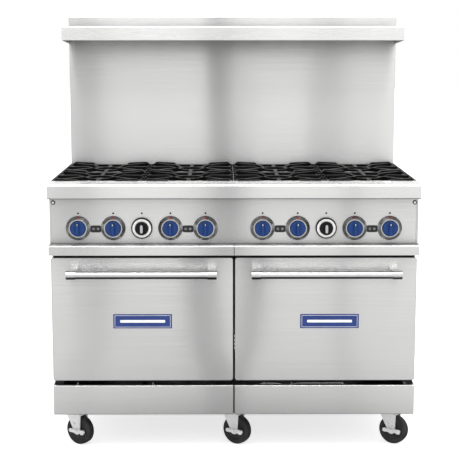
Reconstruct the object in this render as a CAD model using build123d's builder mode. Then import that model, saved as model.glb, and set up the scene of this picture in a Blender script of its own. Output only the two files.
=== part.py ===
from build123d import *
import os
from math import atan2, cos, degrees, hypot, radians, sin

# Commercial gas range with open burners, two ovens, a high shelf and casters.
# Millimetres, +Z up, front towards -Y, origin on the floor under the middle of the box.

# ---------------------------------------------------------------- overall sizes
WIDTH = 1219
DEPTH = 816
HEIGHT = 1460
HALF = WIDTH / 2
SHEET = 1.5
INNER = HALF - SHEET

# Heights above the floor, from the bottom of the body up
Z_BODY = 124
Z_KICK_TOP = 225
Z_DOOR = 242
Z_DOOR_TOP = 663
Z_TRAY = 677
Z_TRAY_TOP = 710
Z_KNOB = 762
Z_RAIL = 864
Z_DECK = 914
Z_SHELF = 1375
Z_SHELF_TOP = 1424

# Planes from front to back, set back from the face of the front rail
HANDLE_PROUD = 18
Y_RAIL = -DEPTH / 2 + HANDLE_PROUD
Y_TRAY = Y_RAIL + 8
Y_KICK = Y_RAIL + 48
Y_DOOR = Y_RAIL + 49
Y_PANEL = Y_RAIL + 52
Y_OVEN = Y_RAIL + 98
Y_GRATES = Y_RAIL + 94
Y_PIPE = Y_RAIL + 110
Y_GUARD = Y_RAIL + 683
Y_BACK = Y_GUARD + 80

# ---------------------------------------------------------------- cooktop
MODULE = WIDTH / 4
MODULE_X = [(column - 1.5) * MODULE for column in range(4)]
ROW_DEPTH = 291
ROW_Y = [Y_GRATES + (row + 0.5) * ROW_DEPTH for row in range(2)]
Z_GRATE = 903
GRATE_WIDTH = 298
GRATE_DEPTH = 286
GRATE_LOW = 911
GRATE_EAR = 918
GRATE_PEAK = 921
LATTICE_BAR = 24
WELL_DEPTH = 25
Z_BURNER = 860
HEAD_R = 45
NECK_R = 14
TUBE_R = 12
Z_VENTURI = 835

# ---------------------------------------------------------------- controls
KNOB_PITCH = 116
KNOB_X = [x + side * KNOB_PITCH / 2 for x in MODULE_X for side in (-1, 1)]
DIAL_X = [-WIDTH / 4, WIDTH / 4]
STEM_R = 3.0
STEM_TIP = Y_RAIL + 27
RUNNING = 0.05
KNOB_R = 25.3
DIAL_R = 35
BEZEL_R = 40.5
PIPE_R = 13.0
PIPE_BORE_R = 10.4
INLET_R = 13.35
PIPE_X = 560

# ---------------------------------------------------------------- doors and trays
OVEN_X = WIDTH / 4
DOOR_INNER_X = 3
DOOR_OUTER_X = INNER
DOOR_THICK = 46.5
HINGE_Y = Y_DOOR + 22
HINGE_Z = Z_DOOR + 8
HINGE_PIN_R = 4.0
HINGE_X = 230
HANDLE_R = 12.5
HANDLE_LENGTH = 494
HANDLE_Z = 613
FERRULE_R = 14.3
HANDLE_Y = Y_RAIL - HANDLE_PROUD + FERRULE_R
FERRULE_LENGTH = 30
TRAY_SEAM = 2
TRAY_LENGTH = 600
KICK_SEAM = 4.4
KICK_DEPTH = 15

# ---------------------------------------------------------------- ovens
CAVITY_WIDTH = 512
CAVITY_DEPTH = 560
CAVITY_Z = 288
CAVITY_TOP = 642
RACK_Z = 400

# ---------------------------------------------------------------- casters
WHEEL_R = 50
WHEEL_WIDTH = 34
AXLE_R = 4.0
CASTER_TRAIL = 14
CASTER_TURN = -32
CASTER_X = [-540, 0, 540]
CASTER_Y = [Y_RAIL + 128, Y_BACK - 90]
KINGPIN_R = 6.0
Z_NUT = 2 * WHEEL_R + 0.6
Z_CROWN = 104
Z_RACEWAY = 112
Z_PLATE = 119

os.makedirs("parts", exist_ok=True)


def save(builder, name):
    """Label a finished sub-part and write it as one STEP file."""
    builder.part.label = name
    export_step(builder.part, f"parts/{name}.step")


def patch(across, up, mode=Mode.ADD):
    """Rectangle in the sketch in hand, between (low, high) limits on its two axes."""
    with Locations((sum(across) / 2, sum(up) / 2)):
        Rectangle(abs(across[1] - across[0]), abs(up[1] - up[0]), mode=mode)


def block(x, y, z, mode=Mode.ADD):
    """Box in the part in hand, between (low, high) limits on X, Y and Z."""
    with Locations((sum(x) / 2, sum(y) / 2, sum(z) / 2)):
        Box(abs(x[1] - x[0]), abs(y[1] - y[0]), abs(z[1] - z[0]), mode=mode)


def rod(start, end, radius, mode=Mode.ADD):
    """Round bar in the part in hand, from one point to another."""
    run = Vector(*end) - Vector(*start)
    middle = Plane(origin=(Vector(*start) + Vector(*end)) / 2, z_dir=run)
    with Locations(middle):
        Cylinder(radius, run.length, mode=mode)


def facing(y):
    """Sketch plane across the range at depth y: sketch X is X, sketch Y is Z."""
    return Plane.XZ.offset(-y)


def caster_plane(x, y, z=0):
    """Plane at a swivel axis, turned with the fork: its X points along the trail."""
    turn = radians(CASTER_TURN)
    return Plane(origin=(x, y, z), x_dir=(cos(turn), sin(turn), 0), z_dir=(0, 0, 1))


# ================================================================ body
# Sides: one sheet each, with a narrow flange beside the control panel, a runner for
# the crumb tray and a ledge for the cooktop.
with BuildPart() as side_panels:
    for side in (-1, 1):
        with BuildSketch(Plane.YZ.offset(side * HALF)):
            with BuildLine():
                Polyline(
                    (Y_KICK + KICK_DEPTH, Z_BODY),
                    (Y_BACK, Z_BODY),
                    (Y_BACK, Z_GRATE),
                    (Y_GUARD, Z_GRATE),
                    (Y_GUARD, Z_DECK),
                    (Y_GRATES, Z_DECK),
                    (Y_GRATES, Z_RAIL),
                    (Y_PANEL, Z_RAIL),
                    (Y_PANEL, Z_TRAY_TOP + 1),
                    (Y_PANEL + 2, Z_TRAY_TOP + 1),
                    (Y_PANEL + 2, Z_DOOR_TOP + 6),
                    (Y_OVEN + 2, Z_DOOR_TOP + 6),
                    (Y_OVEN + 2, Z_KICK_TOP),
                    (Y_KICK + KICK_DEPTH, Z_KICK_TOP),
                    close=True,
                )
            make_face()
        extrude(amount=-side * SHEET)
        block((side * (INNER - 6.5), side * INNER), (Y_PANEL, Y_PANEL + SHEET), (Z_TRAY_TOP + 1, Z_RAIL))
        block((side * (INNER - 20), side * INNER), (Y_OVEN + 4, Y_BACK - 60), (Z_TRAY - 2.5, Z_TRAY - 0.5))
        block((side * (INNER - 8), side * INNER), (Y_GRATES, Y_GUARD), (Z_GRATE - 4, Z_GRATE - 2))
save(side_panels, "side_panels")

# Back: one tall sheet with vent slots low and high, and a hole for the gas pipe.
VENT_Z = (200, 1300)
VENT_LENGTH = 80
VENT_PITCH = 110
with BuildPart() as rear_panel:
    with BuildSketch(facing(Y_BACK - SHEET)):
        patch((-INNER, INNER), (Z_BODY, HEIGHT - SHEET))
        with Locations((PIPE_X, Z_KNOB)):
            Circle(PIPE_R + 4, mode=Mode.SUBTRACT)
        for height in VENT_Z:
            with Locations((0, height)):
                with GridLocations(VENT_PITCH, 16, 9, 4):
                    SlotOverall(VENT_LENGTH, 6, mode=Mode.SUBTRACT)
    extrude(amount=-SHEET)
save(rear_panel, "rear_panel")

# Chassis: a bottom plate with two air windows under each oven, an upstand round it, a
# divider between the ovens and the divider's runners for the crumb trays.
FRAME_PLATE = 3
FRAME_UPSTAND = 36
WINDOW_X = (62, 478)
WINDOW_FRONT = (CASTER_Y[0] + 64, -40)
WINDOW_REAR = (100, CASTER_Y[1] - 62)
with BuildPart() as base_frame:
    with BuildSketch(Plane.XY.offset(Z_BODY)):
        patch((-INNER, INNER), (Y_KICK + KICK_DEPTH, Y_BACK - SHEET))
        for side in (-1, 1):
            for window_y in (WINDOW_FRONT, WINDOW_REAR):
                patch((side * WINDOW_X[0], side * WINDOW_X[1]), window_y, mode=Mode.SUBTRACT)
    extrude(amount=FRAME_PLATE)
    with BuildSketch(Plane.XY.offset(Z_BODY + FRAME_PLATE)):
        patch((-INNER, INNER), (Y_KICK + KICK_DEPTH, Y_BACK - SHEET))
        patch(
            (-INNER + FRAME_PLATE, INNER - FRAME_PLATE),
            (Y_KICK + KICK_DEPTH + FRAME_PLATE, Y_BACK - SHEET - FRAME_PLATE),
            mode=Mode.SUBTRACT,
        )
    extrude(amount=FRAME_UPSTAND - FRAME_PLATE)
    with BuildSketch(Plane.YZ):
        patch((Y_OVEN + 4, Y_BACK - SHEET), (Z_BODY + FRAME_PLATE, Z_TRAY - 0.5))
        patch((Y_PIPE + 22, Y_BACK - SHEET), (Z_TRAY - 0.5, Z_GRATE - 2))
    extrude(amount=FRAME_PLATE / 2, both=True)
    for side in (-1, 1):
        block((side, side * 20), (Y_OVEN + 4, Y_BACK - 60), (Z_TRAY - 2.5, Z_TRAY - 0.5))
save(base_frame, "base_frame")

# Kick plates: two folded pans below the doors.
with BuildPart() as kick_plates:
    for side in (-1, 1):
        span = (side * KICK_SEAM / 2, side * INNER)
        rim = (side * (KICK_SEAM / 2 + SHEET), side * (INNER - SHEET))
        with BuildSketch(facing(Y_KICK)):
            patch(span, (Z_BODY, Z_KICK_TOP))
        extrude(amount=-SHEET)
        with BuildSketch(facing(Y_KICK + SHEET)):
            patch(span, (Z_BODY, Z_KICK_TOP))
            patch(rim, (Z_BODY + SHEET, Z_KICK_TOP - SHEET), mode=Mode.SUBTRACT)
        extrude(amount=-(KICK_DEPTH - SHEET))
    fillet(kick_plates.edges().filter_by(Axis.X).group_by(Axis.Y)[0], radius=2)
save(kick_plates, "kick_plates")

# Front rail: a folded channel with a rounded nose, closed at both ends.
RAIL_NOSE_R = 10
RAIL_FOOT_R = 5


def rail_line():
    """Outside line of the rail's section, from the rear of the ledge round to the foot."""
    Line((Y_GRATES, Z_DECK), (Y_RAIL + RAIL_NOSE_R, Z_DECK))
    RadiusArc((Y_RAIL + RAIL_NOSE_R, Z_DECK), (Y_RAIL, Z_DECK - RAIL_NOSE_R), -RAIL_NOSE_R)
    Line((Y_RAIL, Z_DECK - RAIL_NOSE_R), (Y_RAIL, Z_RAIL + RAIL_FOOT_R))
    RadiusArc((Y_RAIL, Z_RAIL + RAIL_FOOT_R), (Y_RAIL + RAIL_FOOT_R, Z_RAIL), -RAIL_FOOT_R)
    Line((Y_RAIL + RAIL_FOOT_R, Z_RAIL), (Y_PANEL, Z_RAIL))


with BuildPart() as front_rail:
    with BuildSketch(Plane.YZ):
        with BuildLine():
            rail_line()
            offset(amount=SHEET, side=Side.LEFT)
        make_face()
    extrude(amount=INNER, both=True)
    for side in (-1, 1):
        with BuildSketch(Plane.YZ.offset(side * INNER)):
            with BuildLine():
                rail_line()
                Polyline((Y_PANEL, Z_RAIL), (Y_GRATES, Z_RAIL), (Y_GRATES, Z_DECK))
            make_face()
        extrude(amount=side * SHEET)
save(front_rail, "front_rail")

# Control panel: a folded pan between the side flanges, drilled for the valve stems.
PANEL_HALF = INNER - 6.7
PANEL_DEPTH = 14
with BuildPart() as control_panel:
    with BuildSketch(facing(Y_PANEL)):
        patch((-PANEL_HALF, PANEL_HALF), (Z_TRAY_TOP + 1, Z_RAIL))
        with Locations(*[(x, Z_KNOB) for x in KNOB_X + DIAL_X]):
            Circle(STEM_R + 4, mode=Mode.SUBTRACT)
    extrude(amount=-SHEET)
    with BuildSketch(facing(Y_PANEL + SHEET)):
        patch((-PANEL_HALF, PANEL_HALF), (Z_TRAY_TOP + 1, Z_RAIL))
        patch(
            (-PANEL_HALF + SHEET, PANEL_HALF - SHEET),
            (Z_TRAY_TOP + 1 + SHEET, Z_RAIL - SHEET),
            mode=Mode.SUBTRACT,
        )
    extrude(amount=-(PANEL_DEPTH - SHEET))
save(control_panel, "control_panel")

# ================================================================ cooktop
# Lattice: a sheet with one well for each burner, a skirt hanging round each well, and
# a strap under each well that carries the burner head.
WELL_WIDTH = MODULE - LATTICE_BAR
WELL_LENGTH = ROW_DEPTH - LATTICE_BAR
WELLS = [(x, y) for x in MODULE_X for y in ROW_Y]
with BuildPart() as cooktop_frame:
    with BuildSketch(Plane.XY.offset(Z_GRATE - 2)):
        patch((-INNER, INNER), (Y_GRATES - 10, Y_GUARD))
        with Locations(*WELLS):
            RectangleRounded(WELL_WIDTH, WELL_LENGTH, 12, mode=Mode.SUBTRACT)
    extrude(amount=2)
    with BuildSketch(Plane.XY.offset(Z_GRATE - 2)):
        with Locations(*WELLS):
            RectangleRounded(WELL_WIDTH + 2 * SHEET, WELL_LENGTH + 2 * SHEET, 12 + SHEET)
            RectangleRounded(WELL_WIDTH, WELL_LENGTH, 12, mode=Mode.SUBTRACT)
    extrude(amount=-WELL_DEPTH)
    for x, y in WELLS:
        strap = (y + NECK_R + 3, y + NECK_R + 19)
        reach = WELL_WIDTH / 2 + SHEET
        block((x - reach, x + reach), strap, (Z_BURNER - SHEET, Z_BURNER))
        for side in (-1, 1):
            ear = (x + side * (reach - SHEET), x + side * reach)
            block(ear, strap, (Z_BURNER - SHEET, Z_GRATE - 2 - WELL_DEPTH))
save(cooktop_frame, "cooktop_frame")

# Grates: a square cast frame with raised ears at its corners, eight arms that drop
# towards the middle, and a low ring over the burner.
GRATE_BAR = 12
ARM_THICK = 12
RING_R = 46
EAR_INNER = 63
EAR_TOP = 134


def ear_profile(half, foot):
    """Closed outline of one grate bar seen from the side: low middle, raised ends."""
    Polyline(
        (-half, foot),
        (half, foot),
        (half, GRATE_LOW - 3),
        (EAR_TOP, GRATE_PEAK),
        (EAR_INNER + 4, GRATE_EAR),
        (EAR_INNER - 4, GRATE_LOW),
        (-EAR_INNER + 4, GRATE_LOW),
        (-EAR_INNER - 4, GRATE_EAR),
        (-EAR_TOP, GRATE_PEAK),
        (-half, GRATE_LOW - 3),
        close=True,
    )


def arm(plane, reach):
    """Two opposite arms on a vertical plane through the grate's middle."""
    with BuildSketch(plane) as side_view:
        for side in (-1, 1):
            with BuildLine():
                Polyline(
                    (side * (RING_R - 2), Z_GRATE + 1),
                    (side * reach, Z_GRATE),
                    (side * reach, GRATE_EAR - 1),
                    (side * (EAR_INNER + 12), GRATE_EAR),
                    (side * (RING_R + 6), GRATE_LOW),
                    (side * (RING_R - 2), GRATE_LOW),
                    close=True,
                )
            make_face()
    extrude(side_view.sketch, amount=ARM_THICK / 2, both=True)


for number, (x, y) in enumerate(WELLS, start=1):
    half_width = GRATE_WIDTH / 2
    half_depth = GRATE_DEPTH / 2
    with BuildPart() as grate:
        for side in (-1, 1):
            across = Plane(origin=(x, y + side * half_depth, 0), x_dir=(1, 0, 0), z_dir=(0, -1, 0))
            with BuildSketch(across):
                with BuildLine():
                    ear_profile(half_width, Z_GRATE)
                make_face()
            extrude(amount=side * GRATE_BAR)
            along = Plane(origin=(x + side * half_width, y, 0), x_dir=(0, 1, 0), z_dir=(1, 0, 0))
            with BuildSketch(along):
                patch((-half_depth, half_depth), (Z_GRATE, GRATE_LOW - 3))
            extrude(amount=-side * GRATE_BAR)
        corner_turn = degrees(atan2(half_depth, half_width))
        corner_reach = hypot(half_width, half_depth) - 16
        for turn in (0, corner_turn, 180 - corner_turn):
            swing = radians(turn)
            upright = Plane(
                origin=(x, y, 0), x_dir=(cos(swing), sin(swing), 0), z_dir=(sin(swing), -cos(swing), 0)
            )
            arm(upright, corner_reach if turn else half_width - 4)
        rib = Plane(origin=(x, y, 0), x_dir=(0, 1, 0), z_dir=(1, 0, 0))
        with BuildSketch(rib):
            for side in (-1, 1):
                patch((side * (RING_R - 2), side * (half_depth - 4)), (Z_GRATE, GRATE_LOW))
        extrude(amount=ARM_THICK / 2, both=True)
        with BuildSketch(Plane.XY.offset(Z_GRATE)):
            with Locations((x, y)):
                Circle(RING_R + 5)
                Circle(RING_R - 5, mode=Mode.SUBTRACT)
        extrude(amount=GRATE_LOW - Z_GRATE)
    save(grate, f"grate_{number}")

# Burners: cast head with radial ports, a neck, and a venturi tube to the valve.
Y_VENTURI = Y_PIPE + 4
with BuildPart() as top_burners:
    for x in MODULE_X:
        for row, y in enumerate(ROW_Y):
            with BuildSketch(facing(y)) as head:
                with BuildLine():
                    Polyline(
                        (x, Z_BURNER),
                        (x + HEAD_R, Z_BURNER),
                        (x + HEAD_R, Z_BURNER + 14),
                        (x + HEAD_R - 7, Z_BURNER + 20),
                        (x + HEAD_R - 7, Z_BURNER + 28),
                        (x + HEAD_R - 15, Z_BURNER + 32),
                        (x, Z_BURNER + 32),
                        close=True,
                    )
                make_face()
            revolve(head.sketch, axis=Axis((x, y, 0), (0, 0, 1)))
            with Locations((x, y, Z_BURNER + 24)):
                with PolarLocations(HEAD_R - 8, 16):
                    Box(12, 3.5, 6, mode=Mode.SUBTRACT)
            rod((x, y, Z_VENTURI - TUBE_R - 2), (x, y, Z_BURNER + 2), NECK_R)
            knob_x = x + (2 * row - 1) * KNOB_PITCH / 2
            mouth = Vector(knob_x, Y_VENTURI, Z_VENTURI)
            run = Vector(x, y, Z_VENTURI) - mouth
            rod(mouth, Vector(x, y, Z_VENTURI), TUBE_R)
            rod(mouth, mouth + run.normalized() * 22, TUBE_R + 5)
save(top_burners, "top_burners")

# Gas pipe: runs behind the panel, turns once and leaves through the back.
with BuildPart() as gas_manifold:
    with BuildLine() as route:
        FilletPolyline(
            (-PIPE_X, Y_PIPE, Z_KNOB), (PIPE_X, Y_PIPE, Z_KNOB), (PIPE_X, DEPTH / 2, Z_KNOB), radius=45
        )
    with BuildSketch(Plane(origin=(-PIPE_X, Y_PIPE, Z_KNOB), z_dir=(1, 0, 0))):
        Circle(PIPE_R)
        Circle(PIPE_BORE_R, mode=Mode.SUBTRACT)
    sweep()
    rod((-PIPE_X - 14, Y_PIPE, Z_KNOB), (-PIPE_X, Y_PIPE, Z_KNOB), PIPE_R + 3)
    for x in KNOB_X + DIAL_X:
        rod((x, Y_PIPE - 16, Z_KNOB), (x, Y_PIPE - 10.5, Z_KNOB), 7)
    rod((PIPE_X, Y_BACK + 0.5, Z_KNOB), (PIPE_X, DEPTH / 2, Z_KNOB), INLET_R)
    rod((PIPE_X, Y_BACK, Z_KNOB), (PIPE_X, DEPTH / 2, Z_KNOB), PIPE_BORE_R, mode=Mode.SUBTRACT)
save(gas_manifold, "gas_manifold")

# Pilots: one bent tube for each front and rear pair of burners.
PILOT_Z = 800
with BuildPart() as pilot_lights:
    for x in MODULE_X:
        with BuildLine() as bend:
            FilletPolyline(
                (x, Y_PIPE, Z_KNOB + PIPE_R),
                (x, Y_PIPE, PILOT_Z),
                (x, ROW_Y[0] + HEAD_R + 15, PILOT_Z),
                (x, ROW_Y[0] + HEAD_R + 15, Z_BURNER + 22),
                radius=10,
            )
        with BuildSketch(Plane(origin=bend.line @ 0, z_dir=bend.line % 0)) as bore:
            Circle(2.5)
        sweep(bore.sketch, path=bend.line)
        rod((x, ROW_Y[0] + HEAD_R + 15, Z_BURNER + 22), (x, ROW_Y[0] + HEAD_R + 15, Z_BURNER + 30), 4.5)
save(pilot_lights, "pilot_lights")

# Valves: burner cocks with a riser and an orifice, and two oven thermostats.
COCK_R = 13
ORIFICE_R = 4
THERMOSTAT_HALF_X = 23
THERMOSTAT_HALF_Z = 25
with BuildPart() as gas_valves:
    for x in KNOB_X:
        rod((x, Y_PANEL + 10, Z_KNOB), (x, Y_PIPE - 16, Z_KNOB), COCK_R)
        rod((x, STEM_TIP, Z_KNOB), (x, Y_PANEL + 10, Z_KNOB), STEM_R)
        block((x - 6, x + 6), (Y_PIPE - 36, Y_PIPE - 24), (Z_KNOB, Z_VENTURI + 6))
        rod((x, Y_PIPE - 24, Z_VENTURI), (x, Y_PIPE, Z_VENTURI), ORIFICE_R)
    for x in DIAL_X:
        block(
            (x - THERMOSTAT_HALF_X, x + THERMOSTAT_HALF_X),
            (Y_PANEL + 8, Y_PIPE - 16),
            (Z_KNOB - THERMOSTAT_HALF_Z, Z_KNOB + THERMOSTAT_HALF_Z),
        )
        rod((x, STEM_TIP, Z_KNOB), (x, Y_PANEL + 8, Z_KNOB), STEM_R)
save(gas_valves, "gas_valves")

# ================================================================ controls
# Bezels: a shallow turned cone round each burner knob, with a step inside its mouth.
BEZEL_FRONT = Y_PANEL - 14
BEZEL_LIP_R = 30
BEZEL_MOUTH_R = 27
with BuildPart() as knob_bezels:
    for x in KNOB_X:
        with BuildSketch(Plane(origin=(x, 0, Z_KNOB), x_dir=(1, 0, 0), z_dir=(0, 0, 1))) as dish:
            with BuildLine():
                Polyline(
                    (BEZEL_R - 2, Y_PANEL),
                    (BEZEL_R, Y_PANEL),
                    (BEZEL_R, Y_PANEL - 3),
                    (BEZEL_LIP_R, BEZEL_FRONT),
                    (BEZEL_MOUTH_R, BEZEL_FRONT),
                    (BEZEL_MOUTH_R, BEZEL_FRONT + 2),
                    (BEZEL_LIP_R - 1, BEZEL_FRONT + 2),
                    close=True,
                )
            make_face()
        revolve(dish.sketch, axis=Axis((x, 0, Z_KNOB), (0, 1, 0)))
save(knob_bezels, "knob_bezels")

# Knobs: a round skirt with a grip bar, and a blind bore for the valve stem.
KNOB_BACK = Y_PANEL - 7
KNOB_FACE = Y_RAIL + 29
KNOB_GRIP = Y_RAIL + 17
GRIP_WIDTH = 11
for number, x in enumerate(KNOB_X, start=1):
    with BuildPart() as knob:
        rod((x, KNOB_FACE, Z_KNOB), (x, KNOB_BACK, Z_KNOB), KNOB_R)
        fillet(knob.edges().filter_by(GeomType.CIRCLE).sort_by(Axis.Y)[0], radius=4)
        with BuildSketch(facing(KNOB_FACE + 2)):
            with Locations((x, Z_KNOB)):
                SlotOverall(2 * KNOB_R - 5, GRIP_WIDTH, rotation=90)
        extrude(amount=KNOB_FACE + 2 - KNOB_GRIP, taper=4)
        fillet(knob.faces().sort_by(Axis.Y)[0].edges(), radius=2)
        rod((x, STEM_TIP - 0.5, Z_KNOB), (x, KNOB_BACK, Z_KNOB), STEM_R + RUNNING, mode=Mode.SUBTRACT)
    save(knob, f"burner_knob_{number}")

# Oven dials: a flat numbered skirt, a centre hub and a grip bar.
DIAL_BACK = Y_PANEL - 1
DIAL_FACE = Y_PANEL - 10
DIAL_HUB_R = 22
DIAL_HUB_FACE = DIAL_FACE - 10
for side, x in zip(("left", "right"), DIAL_X):
    with BuildPart() as dial:
        rod((x, DIAL_FACE, Z_KNOB), (x, DIAL_BACK, Z_KNOB), DIAL_R)
        fillet(dial.edges().filter_by(GeomType.CIRCLE).sort_by(Axis.Y)[0], radius=3)
        rod((x, DIAL_HUB_FACE, Z_KNOB), (x, DIAL_FACE, Z_KNOB), DIAL_HUB_R)
        fillet(dial.edges().filter_by(GeomType.CIRCLE).sort_by(Axis.Y)[0], radius=2)
        with BuildSketch(facing(DIAL_HUB_FACE)):
            with Locations((x, Z_KNOB)):
                SlotOverall(32, 12, rotation=90)
        extrude(amount=12, taper=3)
        fillet(dial.faces().sort_by(Axis.Y)[0].edges(), radius=1.5)
        rod((x, STEM_TIP - 0.5, Z_KNOB), (x, DIAL_BACK, Z_KNOB), STEM_R + RUNNING, mode=Mode.SUBTRACT)
    save(dial, f"oven_dial_{side}")

# ================================================================ backguard and shelf
# Backguard: a tall pan open at the back, which makes the flue with the rear panel.
FLUE_DEPTH = Y_BACK - Y_GUARD
FLUE_PITCH = 100
with BuildPart() as backguard:
    with BuildSketch(facing(Y_GUARD)):
        patch((-HALF, HALF), (Z_DECK - 9, HEIGHT))
    extrude(amount=-SHEET)
    with BuildSketch(facing(Y_GUARD + SHEET)):
        patch((-HALF, HALF), (Z_GRATE, HEIGHT))
        patch((-INNER, INNER), (Z_GRATE, HEIGHT - SHEET), mode=Mode.SUBTRACT)
    extrude(amount=-(FLUE_DEPTH - SHEET))
    fillet(backguard.edges().filter_by(Axis.X).group_by(Axis.Z)[-1].sort_by(Axis.Y)[0], radius=2)
    with BuildSketch(Plane.XY.offset(HEIGHT)):
        with Locations((0, Y_GUARD + FLUE_DEPTH / 2)):
            with GridLocations(FLUE_PITCH, 1, 11, 1):
                SlotOverall(FLUE_PITCH - 24, 26)
    extrude(amount=-SHEET, mode=Mode.SUBTRACT)
save(backguard, "backguard")

# High shelf: a deck with a deep front lip and two end gussets, hung on the backguard.
SHELF_DEPTH = 224
Y_SHELF = Y_GUARD - SHELF_DEPTH
SHELF_NOSE_R = 4
GUSSET_DROP = 13
LOUVRE_PITCH = 92
with BuildPart() as high_shelf:
    with BuildSketch(Plane.YZ):
        with BuildLine():
            Line((Y_GUARD, Z_SHELF_TOP), (Y_SHELF + SHELF_NOSE_R, Z_SHELF_TOP))
            RadiusArc(
                (Y_SHELF + SHELF_NOSE_R, Z_SHELF_TOP),
                (Y_SHELF, Z_SHELF_TOP - SHELF_NOSE_R),
                -SHELF_NOSE_R,
            )
            Polyline((Y_SHELF, Z_SHELF_TOP - SHELF_NOSE_R), (Y_SHELF, Z_SHELF), (Y_SHELF + 14, Z_SHELF))
            offset(amount=SHEET, side=Side.LEFT)
        make_face()
    extrude(amount=INNER, both=True)
    for side in (-1, 1):
        with BuildSketch(Plane.YZ.offset(side * INNER)):
            with BuildLine():
                RadiusArc(
                    (Y_SHELF + SHELF_NOSE_R, Z_SHELF_TOP),
                    (Y_SHELF, Z_SHELF_TOP - SHELF_NOSE_R),
                    -SHELF_NOSE_R,
                )
                Polyline(
                    (Y_SHELF, Z_SHELF_TOP - SHELF_NOSE_R),
                    (Y_SHELF, Z_SHELF),
                    (Y_GUARD, Z_SHELF - GUSSET_DROP),
                    (Y_GUARD, Z_SHELF_TOP),
                    (Y_SHELF + SHELF_NOSE_R, Z_SHELF_TOP),
                )
            make_face()
        extrude(amount=side * SHEET)
    with BuildSketch(Plane.XY.offset(Z_SHELF_TOP)):
        with Locations((0, Y_GUARD - 34)):
            with GridLocations(LOUVRE_PITCH, 18, 12, 2):
                SlotOverall(LOUVRE_PITCH - 22, 7)
    extrude(amount=-SHEET, mode=Mode.SUBTRACT)
save(high_shelf, "high_shelf")

# ================================================================ ovens
# Liners: an enamelled box open at the front, a flange that fills the front of the
# range behind the door, and ledges that carry the rack.
FRAME_LOW = Z_KICK_TOP + 3
FRAME_TOP = Z_TRAY - 3
ARM_HALF = 6
with BuildPart() as oven_liners:
    for side in (-1, 1):
        centre = side * OVEN_X
        cavity = (centre - CAVITY_WIDTH / 2, centre + CAVITY_WIDTH / 2)
        shell = (cavity[0] - SHEET, cavity[1] + SHEET)
        with BuildSketch(facing(Y_OVEN)):
            patch((side * DOOR_INNER_X, side * INNER), (FRAME_LOW, FRAME_TOP))
            patch(cavity, (CAVITY_Z, CAVITY_TOP), mode=Mode.SUBTRACT)
            for hand in (-1, 1):
                arm_x = centre + hand * HINGE_X
                patch(
                    (arm_x - 3.2, arm_x + 3.2),
                    (HINGE_Z - ARM_HALF - 0.2, HINGE_Z + ARM_HALF + 0.2),
                    mode=Mode.SUBTRACT,
                )
        extrude(amount=-SHEET)
        with BuildSketch(facing(Y_OVEN + SHEET)):
            patch(shell, (CAVITY_Z - SHEET, CAVITY_TOP + SHEET))
            patch(cavity, (CAVITY_Z, CAVITY_TOP), mode=Mode.SUBTRACT)
        extrude(amount=-(CAVITY_DEPTH - SHEET))
        with BuildSketch(facing(Y_OVEN + CAVITY_DEPTH)):
            patch(shell, (CAVITY_Z - SHEET, CAVITY_TOP + SHEET))
        extrude(amount=-SHEET)
        for hand in (-1, 1):
            wall = centre + hand * CAVITY_WIDTH / 2
            for height in (RACK_Z - 80, RACK_Z, RACK_Z + 80, RACK_Z + 160):
                block(
                    (wall - hand * 10, wall),
                    (Y_OVEN + 30, Y_OVEN + CAVITY_DEPTH - 20),
                    (height - 3, height),
                )
save(oven_liners, "oven_liners")

# Racks: a wire frame with rods from front to back, one in each oven.
WIRE_R = 3
RACK_WIDTH = CAVITY_WIDTH - 6
RACK_FRONT = Y_OVEN + 25
RACK_BACK = Y_OVEN + CAVITY_DEPTH - 25
with BuildPart() as oven_racks:
    for side in (-1, 1):
        centre = side * OVEN_X
        z = RACK_Z + WIRE_R
        edge = RACK_WIDTH / 2 - WIRE_R
        for y in (RACK_FRONT, (RACK_FRONT + RACK_BACK) / 2, RACK_BACK):
            rod((centre - edge, y, z), (centre + edge, y, z), WIRE_R)
        for hand in (-1, 1):
            rod((centre + hand * edge, RACK_FRONT, z), (centre + hand * edge, RACK_BACK, z), WIRE_R)
        for step in range(1, 16):
            wire_x = centre - edge + step * 2 * edge / 16
            rod((wire_x, RACK_FRONT, z), (wire_x, RACK_BACK, z), 2)
save(oven_racks, "oven_racks")

# Oven burners: a capped tube on two feet with a flame spreader above it.
OVEN_TUBE_Z = 196
OVEN_TUBE_R = 15
SPREADER_Z = 252
SPREADER_HALF = 90
with BuildPart() as oven_burners:
    for side in (-1, 1):
        centre = side * OVEN_X
        rod((centre, Y_OVEN + 30, OVEN_TUBE_Z), (centre, Y_OVEN + 540, OVEN_TUBE_Z), OVEN_TUBE_R)
        for y in (Y_OVEN + 60, Y_OVEN + 520):
            block((centre - 5, centre + 5), (y, y + 20), (Z_BODY + FRAME_PLATE, OVEN_TUBE_Z - 6))
            block((centre - 4, centre + 4), (y, y + 20), (OVEN_TUBE_Z + 4, SPREADER_Z))
        block(
            (centre - SPREADER_HALF, centre + SPREADER_HALF),
            (Y_OVEN + 60, Y_OVEN + 540),
            (SPREADER_Z, SPREADER_Z + 2),
        )
save(oven_burners, "oven_burners")

# Hinges: a flat arm through a slot in the oven front, with a pin across its nose.
PIN_HALF = 11
with BuildPart() as door_hinges:
    for side in (-1, 1):
        for hand in (-1, 1):
            arm_x = side * OVEN_X + hand * HINGE_X
            with BuildSketch(Plane.YZ.offset(arm_x)) as hinge_arm:
                patch((HINGE_Y, Y_OVEN + SHEET), (HINGE_Z - ARM_HALF, HINGE_Z + ARM_HALF))
                with Locations((HINGE_Y, HINGE_Z)):
                    Circle(ARM_HALF)
            extrude(hinge_arm.sketch, amount=3, both=True)
            block((arm_x - 15, arm_x + 15), (Y_OVEN + SHEET, Y_OVEN + 4.5), (HINGE_Z - 18, HINGE_Z + 18))
            rod((arm_x - PIN_HALF, HINGE_Y, HINGE_Z), (arm_x + PIN_HALF, HINGE_Y, HINGE_Z), HINGE_PIN_R)
save(door_hinges, "door_hinges")

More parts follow.
